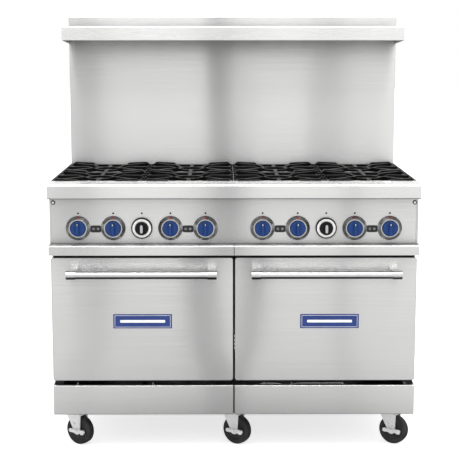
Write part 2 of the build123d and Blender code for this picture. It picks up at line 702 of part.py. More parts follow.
# ================================================================ doors
DOOR_CORNER_R = 9
DOOR_RIM = DOOR_THICK - SHEET
LUG_GAP = 3.5
LUG_THICK = 4
for name, side in (("left", -1), ("right", 1)):
    span = (side * DOOR_INNER_X, side * DOOR_OUTER_X)
    rim = (side * (DOOR_INNER_X + SHEET), side * (DOOR_OUTER_X - SHEET))
    centre = side * OVEN_X
    arms = [centre - HINGE_X, centre + HINGE_X]

    # Outer skin: a folded pan with two rounded lower corners, notched for the hinges.
    with BuildPart() as door_skin:
        with BuildSketch(facing(Y_DOOR)) as face:
            patch(span, (Z_DOOR, Z_DOOR_TOP))
            fillet(face.vertices().group_by(Axis.Z)[0], radius=DOOR_CORNER_R)
        extrude(amount=-SHEET)
        with BuildSketch(facing(Y_DOOR + SHEET)) as rim_band:
            patch(span, (Z_DOOR, Z_DOOR_TOP))
            fillet(rim_band.vertices().group_by(Axis.Z)[0], radius=DOOR_CORNER_R)
            offset(amount=-SHEET, mode=Mode.SUBTRACT)
        extrude(amount=-(DOOR_RIM - SHEET))
        fillet(door_skin.faces().sort_by(Axis.Y)[0].outer_wire().edges(), radius=2)
        for arm_x in arms:
            block(
                (arm_x - LUG_GAP - 1, arm_x + LUG_GAP + 1),
                (HINGE_Y - 9, Y_DOOR + DOOR_RIM),
                (Z_DOOR, Z_DOOR + SHEET),
                mode=Mode.SUBTRACT,
            )
    save(door_skin, f"door_skin_{name}")

    # Inner liner: closes the pan, with a raised panel and the lugs that hold the pins.
    with BuildPart() as door_liner:
        with BuildSketch(facing(Y_DOOR + DOOR_RIM)) as back:
            patch(span, (Z_DOOR, Z_DOOR_TOP))
            fillet(back.vertices().group_by(Axis.Z)[0], radius=DOOR_CORNER_R)
            for arm_x in arms:
                patch(
                    (arm_x - LUG_GAP - 1, arm_x + LUG_GAP + 1), (Z_DOOR, HINGE_Z + 9), mode=Mode.SUBTRACT
                )
        extrude(amount=-SHEET)
        with BuildSketch(facing(Y_DOOR + DOOR_THICK)):
            with Locations((centre, (CAVITY_Z + CAVITY_TOP) / 2)):
                RectangleRounded(CAVITY_WIDTH - 30, CAVITY_TOP - CAVITY_Z - 30, 20)
        extrude(amount=-1.5)
        for arm_x in arms:
            for hand in (-1, 1):
                lug = sorted((arm_x + hand * LUG_GAP, arm_x + hand * (LUG_GAP + LUG_THICK)))
                block(lug, (HINGE_Y, Y_DOOR + DOOR_RIM), (Z_DOOR + 1.7, HINGE_Z + 8))
                rod((lug[0], HINGE_Y, HINGE_Z), (lug[1], HINGE_Y, HINGE_Z), 6.2)
            rod(
                (arm_x - PIN_HALF, HINGE_Y, HINGE_Z),
                (arm_x + PIN_HALF, HINGE_Y, HINGE_Z),
                HINGE_PIN_R + RUNNING,
                mode=Mode.SUBTRACT,
            )
    save(door_liner, f"door_liner_{name}")

    # Handle: a round bar held at both ends by a ferrule on a post.
    with BuildPart() as door_handle:
        ends = (centre - HANDLE_LENGTH / 2, centre + HANDLE_LENGTH / 2)
        inset = 3
        rod((ends[0] + inset, HANDLE_Y, HANDLE_Z), (ends[1] - inset, HANDLE_Y, HANDLE_Z), HANDLE_R)
        for hand, end in zip((1, -1), ends):
            post_x = end + hand * FERRULE_LENGTH / 2
            with BuildSketch(facing(Y_DOOR)) as post:
                with Locations((post_x, HANDLE_Z)):
                    RectangleRounded(FERRULE_LENGTH - 4, 20, 4)
            extrude(post.sketch, amount=Y_DOOR - HANDLE_Y)
            rod((end, HANDLE_Y, HANDLE_Z), (end + hand * FERRULE_LENGTH, HANDLE_Y, HANDLE_Z), FERRULE_R)
    save(door_handle, f"door_handle_{name}")

# ================================================================ crumb trays
TRAY_NOSE_R = 6
TRAY_WALL = Z_TRAY + 24
for name, side in (("left", -1), ("right", 1)):
    outer = side * HALF
    seam = side * TRAY_SEAM / 2
    pan_x = (side * 5, side * (INNER - 3))
    y_wall = Y_PANEL + 2
    with BuildPart() as crumb_tray:
        with BuildSketch(Plane.YZ.offset(seam)):
            with BuildLine():
                Polyline((y_wall, Z_TRAY), (y_wall, Z_TRAY_TOP), (Y_TRAY + TRAY_NOSE_R, Z_TRAY_TOP))
                RadiusArc(
                    (Y_TRAY + TRAY_NOSE_R, Z_TRAY_TOP),
                    (Y_TRAY, Z_TRAY_TOP - TRAY_NOSE_R),
                    -TRAY_NOSE_R,
                )
                Polyline((Y_TRAY, Z_TRAY_TOP - TRAY_NOSE_R), (Y_TRAY, Z_TRAY), (Y_TRAY + 16, Z_TRAY))
                offset(amount=SHEET, side=Side.LEFT)
            make_face()
        extrude(amount=outer - seam)
        for end, inward in ((outer, -side), (seam, side)):
            with BuildSketch(Plane.YZ.offset(end)):
                with BuildLine():
                    RadiusArc(
                        (Y_TRAY + TRAY_NOSE_R, Z_TRAY_TOP),
                        (Y_TRAY, Z_TRAY_TOP - TRAY_NOSE_R),
                        -TRAY_NOSE_R,
                    )
                    Polyline(
                        (Y_TRAY, Z_TRAY_TOP - TRAY_NOSE_R),
                        (Y_TRAY, Z_TRAY),
                        (y_wall, Z_TRAY),
                        (y_wall, Z_TRAY_TOP),
                        (Y_TRAY + TRAY_NOSE_R, Z_TRAY_TOP),
                    )
                make_face()
            extrude(amount=inward * SHEET)
        block(pan_x, (y_wall - SHEET, y_wall + TRAY_LENGTH), (Z_TRAY, Z_TRAY + SHEET))
        for wall in ((pan_x[0], pan_x[0] + side * SHEET), (pan_x[1] - side * SHEET, pan_x[1])):
            block(wall, (y_wall - SHEET, y_wall + TRAY_LENGTH), (Z_TRAY, TRAY_WALL))
        block(pan_x, (y_wall + TRAY_LENGTH - SHEET, y_wall + TRAY_LENGTH), (Z_TRAY, TRAY_WALL))
    save(crumb_tray, f"crumb_tray_{name}")

# ================================================================ casters
# Fixed plates: a bolted plate, the upper raceway, and the kingpin with its nut.
PLATE_HALF_X = 50
PLATE_HALF_Y = 42
RACEWAY_R = 24
NUT_R = 10
with BuildPart() as caster_plates:
    for x in CASTER_X:
        for y in CASTER_Y:
            block(
                (x - PLATE_HALF_X, x + PLATE_HALF_X),
                (y - PLATE_HALF_Y, y + PLATE_HALF_Y),
                (Z_PLATE, Z_BODY),
            )
            rod((x, y, Z_RACEWAY + 0.3), (x, y, Z_PLATE), RACEWAY_R)
            rod((x, y, Z_NUT), (x, y, Z_PLATE), KINGPIN_R)
            rod((x, y, Z_NUT), (x, y, Z_CROWN - 0.3), NUT_R)
save(caster_plates, "caster_plates")

LEG_THICK = 3
LEG_Y = WHEEL_WIDTH / 2 + 1.5
LEG_TOP_HALF = 30
LEG_TIP_R = 13
CROWN_THICK = 4
AXLE_HALF = LEG_Y + LEG_THICK + 6
AXLE_NUT_R = 7
HUB_R = 14
WEB_R = 31
WEB_INSET = 4
LEVER_THICK = 4
LEVER_LENGTH = 66
PEDAL_X = 28
casters = [(x, y) for y in CASTER_Y for x in CASTER_X]
for number, (x, y) in enumerate(casters, start=1):
    swivel = caster_plane(x, y)
    along = swivel.x_dir
    across = swivel.y_dir
    axle = swivel.origin + along * CASTER_TRAIL + Vector(0, 0, WHEEL_R)
    leg_plane = Plane(origin=swivel.origin, x_dir=along, z_dir=-across)

    # Fork: pressed crown with a dome, two tapering legs and the axle bolt.
    with BuildPart(swivel) as caster_fork:
        with BuildSketch(swivel.offset(Z_CROWN)):
            Rectangle(2 * LEG_TOP_HALF, 2 * (LEG_Y + LEG_THICK))
        extrude(amount=CROWN_THICK)
        with BuildSketch(swivel.offset(Z_CROWN + CROWN_THICK)):
            Circle(RACEWAY_R + 2)
        extrude(amount=Z_RACEWAY - Z_CROWN - CROWN_THICK)
        with BuildSketch(swivel.offset(Z_CROWN)):
            Circle(KINGPIN_R + RUNNING)
        extrude(amount=Z_RACEWAY - Z_CROWN, mode=Mode.SUBTRACT)
        for hand in (-1, 1):
            with BuildSketch(leg_plane.offset(hand * LEG_Y)):
                with BuildLine():
                    Polyline(
                        (CASTER_TRAIL + LEG_TIP_R, WHEEL_R),
                        (LEG_TOP_HALF, Z_CROWN + CROWN_THICK),
                        (-LEG_TOP_HALF, Z_CROWN + CROWN_THICK),
                        (CASTER_TRAIL - LEG_TIP_R, WHEEL_R),
                    )
                    RadiusArc(
                        (CASTER_TRAIL - LEG_TIP_R, WHEEL_R),
                        (CASTER_TRAIL + LEG_TIP_R, WHEEL_R),
                        -LEG_TIP_R,
                    )
                make_face()
            extrude(amount=hand * LEG_THICK)
        with BuildSketch(Plane(origin=axle, x_dir=along, z_dir=-across)):
            Circle(AXLE_R)
        extrude(amount=AXLE_HALF, both=True)
        for hand in (-1, 1):
            with BuildSketch(Plane(origin=axle, x_dir=along, z_dir=-across).offset(hand * AXLE_HALF)):
                RegularPolygon(AXLE_NUT_R, 6)
            extrude(amount=hand * 4)
    save(caster_fork, f"caster_fork_{number}")

    # Wheel: a tread with rounded shoulders round a recessed web and a hub.
    with BuildPart() as caster_wheel:
        with BuildSketch(Plane(origin=axle, x_dir=(0, 0, 1), z_dir=along)) as section:
            with BuildLine():
                Polyline(
                    (AXLE_R + RUNNING, WHEEL_WIDTH / 2),
                    (HUB_R, WHEEL_WIDTH / 2),
                    (HUB_R + 2, WHEEL_WIDTH / 2 - WEB_INSET),
                    (WEB_R, WHEEL_WIDTH / 2 - WEB_INSET),
                    (WEB_R + 2, WHEEL_WIDTH / 2 - 1),
                    (WHEEL_R - 5, WHEEL_WIDTH / 2 - 1),
                    (WHEEL_R - 1, WHEEL_WIDTH / 2 - 5),
                    (WHEEL_R, 0),
                    (AXLE_R + RUNNING, 0),
                    close=True,
                )
            make_face()
            mirror(about=Plane.XZ)
        revolve(section.sketch, axis=Axis(axle, across))
    save(caster_wheel, f"caster_wheel_{number}")

# Brake levers: a bar across the axle bolt on the outer side of each front fork.
for number, (x, y) in enumerate(casters[:3], start=1):
    swivel = caster_plane(x, y)
    along = swivel.x_dir
    across = swivel.y_dir
    axle = swivel.origin + along * CASTER_TRAIL + Vector(0, 0, WHEEL_R)
    face = Plane(origin=axle - across * (LEG_Y + LEG_THICK + 0.5), x_dir=along, z_dir=-across)
    with BuildPart() as brake_lever:
        with BuildSketch(face):
            with Locations((2, 0)):
                SlotOverall(LEVER_LENGTH, 13)
            Circle(AXLE_R + RUNNING, mode=Mode.SUBTRACT)
        extrude(amount=LEVER_THICK)
        with BuildSketch(face.offset(LEVER_THICK)):
            with Locations((PEDAL_X, 0)):
                RectangleRounded(13, 15, 3)
        extrude(amount=5)
    save(brake_lever, f"brake_lever_{number}")
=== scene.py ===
import math

import bmesh
import bpy
from mathutils import Matrix, Vector


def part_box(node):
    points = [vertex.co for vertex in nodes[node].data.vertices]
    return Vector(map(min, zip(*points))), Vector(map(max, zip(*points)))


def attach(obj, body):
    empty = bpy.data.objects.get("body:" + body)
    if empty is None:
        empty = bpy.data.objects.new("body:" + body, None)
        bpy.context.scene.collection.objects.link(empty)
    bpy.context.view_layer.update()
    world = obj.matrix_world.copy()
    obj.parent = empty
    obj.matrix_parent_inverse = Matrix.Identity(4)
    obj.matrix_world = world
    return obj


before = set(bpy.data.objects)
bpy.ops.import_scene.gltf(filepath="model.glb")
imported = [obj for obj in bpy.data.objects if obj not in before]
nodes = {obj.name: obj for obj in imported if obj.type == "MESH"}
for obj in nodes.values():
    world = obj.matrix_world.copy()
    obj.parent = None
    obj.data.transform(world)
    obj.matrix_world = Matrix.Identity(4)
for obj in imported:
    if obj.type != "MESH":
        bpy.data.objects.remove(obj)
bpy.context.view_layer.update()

# Commercial gas range: the looks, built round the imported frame. Metres, front towards -Y.

MM = 0.001

SIDES = ("left", "right")
KNOBS = [f"burner_knob_{n}" for n in range(1, 9)]
GRATES = [f"grate_{n}" for n in range(1, 9)]
FORKS = [f"caster_fork_{n}" for n in range(1, 7)]
WHEELS = [f"caster_wheel_{n}" for n in range(1, 7)]
LEVERS = [f"brake_lever_{n}" for n in range(1, 4)]


def centre(node):
    """Middle of a CAD node's box."""
    low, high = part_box(node)
    return (low + high) / 2


# ---------------------------------------------------------------- places read from the frame
rail_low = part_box("front_rail")[0]
panel_low, panel_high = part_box("control_panel")
back_low, back_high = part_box("rear_panel")
side_low, side_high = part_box("side_panels")
kick_low, kick_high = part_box("kick_plates")
bezel_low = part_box("knob_bezels")[0]
knob_x = [centre(knob).x for knob in KNOBS]
dial_x = [centre(f"oven_dial_{side}").x for side in SIDES]
knob_z = centre(KNOBS[0]).z


# ================================================================ materials
class Paint:
    """A node material under construction, with the few nodes that every finish uses."""

    def __init__(self, name):
        self.material = bpy.data.materials.new(name)
        self.material.use_nodes = True
        self.tree = self.material.node_tree
        self.shader = self.tree.nodes["Principled BSDF"]

    def add(self, kind, **values):
        node = self.tree.nodes.new(kind)
        for key, value in values.items():
            setattr(node, key, value)
        return node

    def link(self, source, target):
        self.tree.links.new(source, target)

    def set(self, **values):
        """Values on the shader's own sockets, with underscores for spaces."""
        for key, value in values.items():
            self.shader.inputs[key.replace("_", " ")].default_value = value

    def space(self, scale=(1, 1, 1)):
        """Object coordinates, stretched."""
        coordinates = self.add("ShaderNodeTexCoord")
        mapping = self.add("ShaderNodeMapping")
        mapping.inputs["Scale"].default_value = scale
        self.link(coordinates.outputs["Object"], mapping.inputs["Vector"])
        return mapping.outputs["Vector"]

    def noise(self, vector, scale, detail=3.0, roughness=0.5):
        node = self.add("ShaderNodeTexNoise")
        node.inputs["Scale"].default_value = scale
        node.inputs["Detail"].default_value = detail
        node.inputs["Roughness"].default_value = roughness
        self.link(vector, node.inputs["Vector"])
        return node.outputs["Fac"]

    def ramp(self, value, stops):
        """Colour ramp through (position, colour) stops; a number stands for a grey."""
        node = self.add("ShaderNodeValToRGB")
        band = node.color_ramp
        while len(band.elements) < len(stops):
            band.elements.new(0.5)
        for element, (position, colour) in zip(band.elements, stops):
            element.position = position
            grey = isinstance(colour, (int, float))
            element.color = (colour, colour, colour, 1) if grey else (*colour, 1)
        self.link(value, node.inputs["Fac"])
        return node.outputs["Color"]

    def bump(self, height, strength, distance, after=None):
        node = self.add("ShaderNodeBump")
        node.inputs["Strength"].default_value = strength
        node.inputs["Distance"].default_value = distance
        self.link(height, node.inputs["Height"])
        if after is not None:
            self.link(after, node.inputs["Normal"])
        return node.outputs["Normal"]

    def edges(self, radius):
        """White on edges within a radius of a corner, black on flat faces."""
        bevel = self.add("ShaderNodeBevel", samples=4)
        bevel.inputs["Radius"].default_value = radius
        geometry = self.add("ShaderNodeNewGeometry")
        turn = self.add("ShaderNodeVectorMath", operation="DISTANCE")
        self.link(bevel.outputs["Normal"], turn.inputs[0])
        self.link(geometry.outputs["Normal"], turn.inputs[1])
        return turn.outputs["Value"]

    def corner_shade(self, reach, tone):
        """Darker where another surface is near: painted shade in corners, creases and under overhangs."""
        corner = self.add("ShaderNodeAmbientOcclusion", samples=6)
        corner.inputs["Distance"].default_value = reach
        return self.ramp(corner.outputs["AO"], [(0.0, tone), (0.85, 1.0)])

    def facing(self, stops):
        """Tone by how a face lies: 0 looks down, 0.5 stands upright, 1 looks up."""
        geometry = self.add("ShaderNodeNewGeometry")
        split = self.add("ShaderNodeSeparateXYZ")
        self.link(geometry.outputs["Normal"], split.inputs["Vector"])
        return self.ramp(self.math("MULTIPLY_ADD", split.outputs["Z"], 0.5, 0.5), stops)

    def object_axes(self):
        """Outputs X, Y and Z of the object coordinates."""
        coordinates = self.add("ShaderNodeTexCoord")
        split = self.add("ShaderNodeSeparateXYZ")
        self.link(coordinates.outputs["Object"], split.inputs["Vector"])
        return split.outputs

    def lean(self, degrees):
        """Height of a sheet that leans back by a small angle."""
        axes = self.object_axes()
        return self.math("MULTIPLY", axes["Z"], -math.tan(math.radians(degrees)))

    def bow(self, middle, half, rise, foot, top):
        """Height of a sheet bowed outwards across its width, and less near its foot."""
        axes = self.object_axes()
        share = self.math("MULTIPLY_ADD", axes["X"], 1 / half, -middle / half)
        height = self.add("ShaderNodeMapRange", interpolation_type="SMOOTHSTEP")
        for socket, value in (("From Min", foot), ("From Max", top), ("To Min", 0.4), ("To Max", 1.0)):
            height.inputs[socket].default_value = value
        self.link(axes["Z"], height.inputs["Value"])
        square = self.math("MULTIPLY", share, share)
        return self.math("MULTIPLY", self.math("MULTIPLY", square, -rise), height.outputs["Result"])

    def math(self, kind, *values):
        node = self.add("ShaderNodeMath", operation=kind)
        for socket, value in zip(node.inputs, values):
            if isinstance(value, (int, float)):
                socket.default_value = value
            else:
                self.link(value, socket)
        return node.outputs[0]

    def multiply(self, first, second):
        mix = self.add("ShaderNodeMix", data_type="RGBA", blend_type="MULTIPLY")
        mix.inputs["Factor"].default_value = 1.0
        self.link(first, mix.inputs["A"])
        self.link(second, mix.inputs["B"])
        return mix.outputs["Result"]

    def wire(self, colour=None, roughness=None, normal=None):
        if colour is not None:
            self.link(colour, self.shader.inputs["Base Color"])
        if roughness is not None:
            self.link(roughness, self.shader.inputs["Roughness"])
        if normal is not None:
            self.link(normal, self.shader.inputs["Normal"])
        return self.material


def brushed_steel(
    name,
    tone,
    rough,
    grain="X",
    streak=0.05,
    wave=0.25,
    corner=0.45,
    bowed=None,
    lean=0,
    top=1.0,
    hem=1.0,
):
    """Sheet steel brushed along one axis: streaks, a slow wave, and painted shade in corners and below.

    corner, top and hem are the tones of the painted shade in its corners, on its upward faces and on
    its folded edges. bowed and lean (degrees) bend its reflections as a bowed or leaning sheet would.
    """
    paint = Paint(name)
    paint.set(Metallic=0.93, Anisotropic=1.0, Anisotropic_Rotation=0.25)
    along = paint.add("ShaderNodeCombineXYZ")
    along.inputs[grain].default_value = 1.0
    paint.link(along.outputs["Vector"], paint.shader.inputs["Tangent"])
    stretch = {"X": (2.5, 420, 420), "Y": (420, 2.5, 420), "Z": (420, 420, 2.5)}[grain]
    streaks = paint.noise(paint.space(stretch), 1.0, detail=5, roughness=0.7)
    cloud = paint.noise(paint.space(), 3.0, detail=2)
    mix = paint.math("MULTIPLY_ADD", cloud, 0.35, streaks)
    light = (tone, tone * 0.997, tone * 0.99)
    dull = tuple(channel * (1 - streak * 2) for channel in light)
    brushed = paint.ramp(mix, [(0.35, dull), (0.95, light)])
    # Painted shade: darker where ambient occlusion finds another surface near.
    corner_shaded = paint.multiply(brushed, paint.corner_shade(0.07, corner))
    # Painted shade by how a face lies: faces that look down fall to 0.12 of the tone, faces that look up
    # take top.
    colour = paint.multiply(corner_shaded, paint.facing([(0.1, 0.12), (0.3, 1.0), (0.85, 1.0), (0.97, top)]))
    # Painted shade: a dark line along the folded edges, as deep as hem.
    if hem < 1:
        colour = paint.multiply(colour, paint.ramp(paint.edges(0.003), [(0.15, 1.0), (0.6, hem)]))
    roughness = paint.ramp(mix, [(0.35, rough * 1.15), (0.95, rough * 0.85)])
    slow = paint.noise(paint.space((2.2, 2.2, 0.7)), 1.0, detail=1)
    normal = paint.bump(slow, wave, 0.02)
    if bowed is not None:
        normal = paint.bump(paint.bow(*bowed), 1.0, 1.0, after=normal)
    if lean:
        normal = paint.bump(paint.lean(lean), 1.0, 1.0, after=normal)
    return paint.wire(colour, roughness, paint.bump(streaks, 0.05, 0.0002, after=normal))


def polished_steel(name, tone, rough, warm=(1, 1, 1), below=1.0):
    """Turned or drawn bright metal with faint rings, handling marks and painted shade on its lower side."""
    paint = Paint(name)
    paint.set(Metallic=1.0)
    cloud = paint.noise(paint.space(), 45, detail=5)
    low = tuple(tone * 0.92 * channel for channel in warm)
    high = tuple(tone * channel for channel in warm)
    handled = paint.ramp(cloud, [(0.3, low), (0.7, high)])
    # Painted shade: faces that look down fall to below of the tone.
    colour = paint.multiply(handled, paint.facing([(0.3, below), (0.44, 1.0)]))
    roughness = paint.ramp(cloud, [(0.3, rough * 0.8), (0.75, rough * 1.35)])
    fine = paint.bump(paint.noise(paint.space((60, 900, 900)), 1.0), 0.04, 0.0002)
    return paint.wire(colour, roughness, fine)


def cast_iron(name, tone, worn, rough=0.5):
    """Sand-cast iron: pitted skin, a dry bloom in patches and edges rubbed brighter."""
    paint = Paint(name)
    paint.set(Metallic=0.0, Specular_IOR_Level=0.16)
    pits = paint.noise(paint.space(), 520, detail=5, roughness=0.7)
    cloud = paint.noise(paint.space(), 22, detail=3)
    skin = paint.ramp(cloud, [(0.35, tone * 0.7), (0.62, tone * 1.1), (0.8, tone * 1.5)])
    rub = paint.ramp(paint.edges(0.0012), [(0.35, 0.0), (1.0, 1.0)])
    mix = paint.add("ShaderNodeMix", data_type="RGBA")
    mix.inputs["B"].default_value = (worn, worn, worn * 0.97, 1)
    paint.link(skin, mix.inputs["A"])
    paint.link(rub, mix.inputs["Factor"])
    roughness = paint.ramp(pits, [(0.3, rough * 0.8), (0.7, rough * 1.2)])
    return paint.wire(mix.outputs["Result"], roughness, paint.bump(pits, 0.25, 0.0004))


def enamel(name, colour):
    """Porcelain enamel: pale specks under an orange-peel gloss."""
    paint = Paint(name)
    paint.set(Coat_Weight=0.5, Coat_Roughness=0.12)
    specks = paint.noise(paint.space(), 700, detail=1)
    tint = paint.ramp(specks, [(0.0, colour), (0.66, colour), (0.7, (0.3, 0.31, 0.33))])
    peel = paint.noise(paint.space(), 160, detail=2)
    roughness = paint.ramp(peel, [(0.3, 0.28), (0.7, 0.4)])
    return paint.wire(tint, roughness, paint.bump(peel, 0.15, 0.0005))


def moulded_plastic(name, colour, rough, shine=0.5):
    """Moulded plastic: fine spark-eroded grain and a gloss that handling has evened out."""
    paint = Paint(name)
    paint.set(Specular_IOR_Level=shine)
    grain = paint.noise(paint.space(), 1500, detail=2)
    cloud = paint.noise(paint.space(), 60, detail=3)
    dark = tuple(channel * 0.84 for channel in colour)
    tint = paint.ramp(cloud, [(0.3, dark), (0.7, colour)])
    roughness = paint.ramp(cloud, [(0.3, rough * 0.85), (0.75, rough * 1.25)])
    return paint.wire(tint, roughness, paint.bump(grain, 0.12, 0.0002))


def tyre_rubber(name, tone):
    """Dark moulded rubber with dust in its grain."""
    paint = Paint(name)
    paint.set(Specular_IOR_Level=0.4)
    grain = paint.noise(paint.space(), 600, detail=5)
    dust = paint.noise(paint.space(), 35, detail=4)
    tint = paint.ramp(dust, [(0.4, tone), (0.75, tone * 1.7)])
    roughness = paint.ramp(grain, [(0.3, 0.45), (0.7, 0.65)])
    return paint.wire(tint, roughness, paint.bump(grain, 0.3, 0.0004))


def zinc_plate(name, tone):
    """Zinc-plated pressed steel with a soft spangle."""
    paint = Paint(name)
    paint.set(Metallic=0.35)
    cells = paint.add("ShaderNodeTexVoronoi")
    cells.inputs["Scale"].default_value = 140
    paint.link(paint.space(), cells.inputs["Vector"])
    colour = paint.ramp(cells.outputs["Distance"], [(0.0, tone), (0.7, tone * 0.88)])
    cloud = paint.noise(paint.space(), 50, detail=4)
    roughness = paint.ramp(cloud, [(0.3, 0.26), (0.7, 0.42)])
    return paint.wire(colour, roughness, paint.bump(cloud, 0.1, 0.0004))


door_boxes = {side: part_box(f"door_skin_{side}") for side in SIDES}


def door_bow(side):
    """The outward bow of one door's skin, for brushed_steel."""
    low, high = door_boxes[side]
    return ((low.x + high.x) / 2, (high.x - low.x) / 2, 4.3 * MM, low.z, low.z + 0.16)


MATERIALS = {
    "front_sheet": brushed_steel("front_sheet", 0.86, 0.22),
    # top=0.4: painted shade on the tray's upward ledge.
    "tray_sheet": brushed_steel("tray_sheet", 0.82, 0.22, top=0.4),
    # hem=0.3: painted dark lines along the door edges.
    "door_sheet_left": brushed_steel("door_sheet_left", 0.84, 0.21, bowed=door_bow("left"), hem=0.3),
    "door_sheet_right": brushed_steel("door_sheet_right", 0.86, 0.21, bowed=door_bow("right"), hem=0.3),
    # corner=0.35: deeper painted shade under the shelf; hem=0.6: painted dark lines along its edges.
    "guard_sheet": brushed_steel("guard_sheet", 0.78, 0.19, corner=0.35, lean=5, hem=0.6),
    "shelf_sheet": brushed_steel("shelf_sheet", 0.78, 0.28),
    # hem=0.4: painted dark lines along the kick plate edges.
    "kick_sheet": brushed_steel("kick_sheet", 0.97, 0.21, hem=0.4),
    # Same steel as the rail, toned a little darker as painted shade under the rail's overhang.
    "panel_sheet": brushed_steel("panel_sheet", 0.83, 0.2, corner=0.5),
    "well_sheet": brushed_steel("well_sheet", 0.5, 0.4, wave=0.1),
    "side_sheet": brushed_steel("side_sheet", 0.74, 0.3, grain="Y", streak=0.03, wave=0.15),
    "mill_sheet": brushed_steel("mill_sheet", 0.5, 0.36, grain="Z", streak=0.1),
    # below=0.2: painted shade on the lower side of handles and rods.
    "bright_bar": polished_steel("bright_bar", 0.8, 0.2, below=0.2),
    "spun_steel": polished_steel("spun_steel", 0.74, 0.3),
    "chrome": polished_steel("chrome", 0.86, 0.12),
    "brass": polished_steel("brass", 0.7, 0.28, warm=(1.0, 0.78, 0.42)),
    "zinc": zinc_plate("zinc", 0.86),
    "iron": cast_iron("iron", 0.004, 0.02, rough=0.45),
    "black_pipe": cast_iron("black_pipe", 0.02, 0.06),
    "oven_enamel": enamel("oven_enamel", (0.018, 0.02, 0.026)),
    "knob_blue": moulded_plastic("knob_blue", (0.003, 0.036, 0.165), 0.42, shine=0.3),
    "dial_black": moulded_plastic("dial_black", (0.004, 0.004, 0.005), 0.38, shine=0.25),
    "black_and_gap_shade": moulded_plastic("black_and_gap_shade", (0.01, 0.01, 0.011), 0.5),
    "print_white": moulded_plastic("print_white", (0.84, 0.84, 0.82), 0.45),
    "print_black": moulded_plastic("print_black", (0.01, 0.01, 0.011), 0.4),
    "print_red": moulded_plastic("print_red", (0.6, 0.012, 0.01), 0.5),
    "badge_blue": moulded_plastic("badge_blue", (0.008, 0.034, 0.19), 0.35),
    "grip_grey": moulded_plastic("grip_grey", (0.36, 0.36, 0.37), 0.35),
    "wheel_rubber": tyre_rubber("wheel_rubber", 0.02),
}

FINISHES = {
    "front_sheet": ["front_rail"],
    "tray_sheet": [f"crumb_tray_{side}" for side in SIDES],
    "shelf_sheet": ["high_shelf"],
    "kick_sheet": ["kick_plates"],
    "door_sheet_left": ["door_skin_left"],
    "door_sheet_right": ["door_skin_right"],
    "guard_sheet": ["backguard"],
    "panel_sheet": ["control_panel"],
    # The base frame is black as painted shade in the seams and gaps where it shows.
    "black_and_gap_shade": ["base_frame"],
    "well_sheet": ["cooktop_frame"],
    "side_sheet": ["side_panels"],
    "mill_sheet": ["rear_panel"],
    "bright_bar": [f"door_handle_{side}" for side in SIDES] + ["oven_racks", "pilot_lights"],
    "spun_steel": ["knob_bezels"],
    "brass": ["gas_valves"],
    "zinc": ["caster_plates", "door_hinges"] + FORKS + LEVERS,
    "iron": GRATES + ["top_burners", "oven_burners"],
    "black_pipe": ["gas_manifold"],
    "oven_enamel": ["oven_liners"] + [f"door_liner_{side}" for side in SIDES],
    "knob_blue": KNOBS,
    "dial_black": [f"oven_dial_{side}" for side in SIDES],
    "wheel_rubber": WHEELS,
}
for finish, members in FINISHES.items():
    for member in members:
        nodes[member].data.materials.clear()
        nodes[member].data.materials.append(MATERIALS[finish])

# Castings have rounded arrises.
for grate in GRATES:
    weld = nodes[grate].modifiers.new("weld", "WELD")
    weld.merge_threshold = 0.0001
    ease = nodes[grate].modifiers.new("ease", "BEVEL")
    ease.width = 2.5 * MM
    ease.segments = 2
    ease.limit_method = "ANGLE"
    ease.angle_limit = math.radians(40)
    ease.harden_normals = True


# ================================================================ mesh helpers
def front_place(x, y, z):
    """Placement on the front: local X stays X, local Y points up, local Z points forward."""
    return Matrix.Translation((x, y, z)) @ Matrix.Rotation(math.radians(90), 4, "X")


def back_place(x, y, z):
    """Placement on the back: local Z points backwards."""
    return Matrix.Translation((x, y, z)) @ Matrix.Rotation(math.radians(-90), 4, "X")


def side_place(side, x, y, z):
    """Placement on a side panel: local Z points out along X, to the given side."""
    return Matrix.Translation((x, y, z)) @ Matrix.Rotation(math.radians(90 * side), 4, "Y")


def add_circle(mesh, radius, height, place, steps):
    """Adds a ring of vertices round the placement's Z axis."""
    ring = []
    for step in range(steps):
        turn = 2 * math.pi * step / steps
        spot = Vector((radius * math.cos(turn), radius * math.sin(turn), height))
        ring.append(mesh.verts.new(place @ spot))
    return ring


def stitch(mesh, rings):
    """Adds the band of quads between each ring and the next."""
    for below, above in zip(rings, rings[1:]):
        count = len(below)
        for step in range(count):
            after = (step + 1) % count
            mesh.faces.new((below[step], below[after], above[after], above[step]))


def add_turned(mesh, profile, place, steps=28):
    """Adds a closed turned solid: (radius, height) points from the foot's middle to the top's."""
    rings = []
    for radius, height in profile:
        if radius == 0:
            rings.append([mesh.verts.new(place @ Vector((0, 0, height)))])
        else:
            rings.append(add_circle(mesh, radius, height, place, steps))
    for below, above in zip(rings, rings[1:]):
        for step in range(steps):
            after = (step + 1) % steps
            if len(below) == 1:
                mesh.faces.new((below[0], above[after], above[step]))
            elif len(above) == 1:
                mesh.faces.new((below[step], below[after], above[0]))
            else:
                mesh.faces.new((below[step], below[after], above[after], above[step]))


def add_ring(mesh, inner, outer, low, high, place, steps=64):
    """Adds a flat washer between two radii, with its edges slightly eased."""
    ease = (high - low) * 0.3
    profile = [
        (inner, low), (outer, low), (outer, high - ease), (outer - ease, high),
        (inner + ease, high), (inner, high - ease),
    ]
    rings = [add_circle(mesh, radius, height, place, steps) for radius, height in profile]
    stitch(mesh, rings + rings[:1])


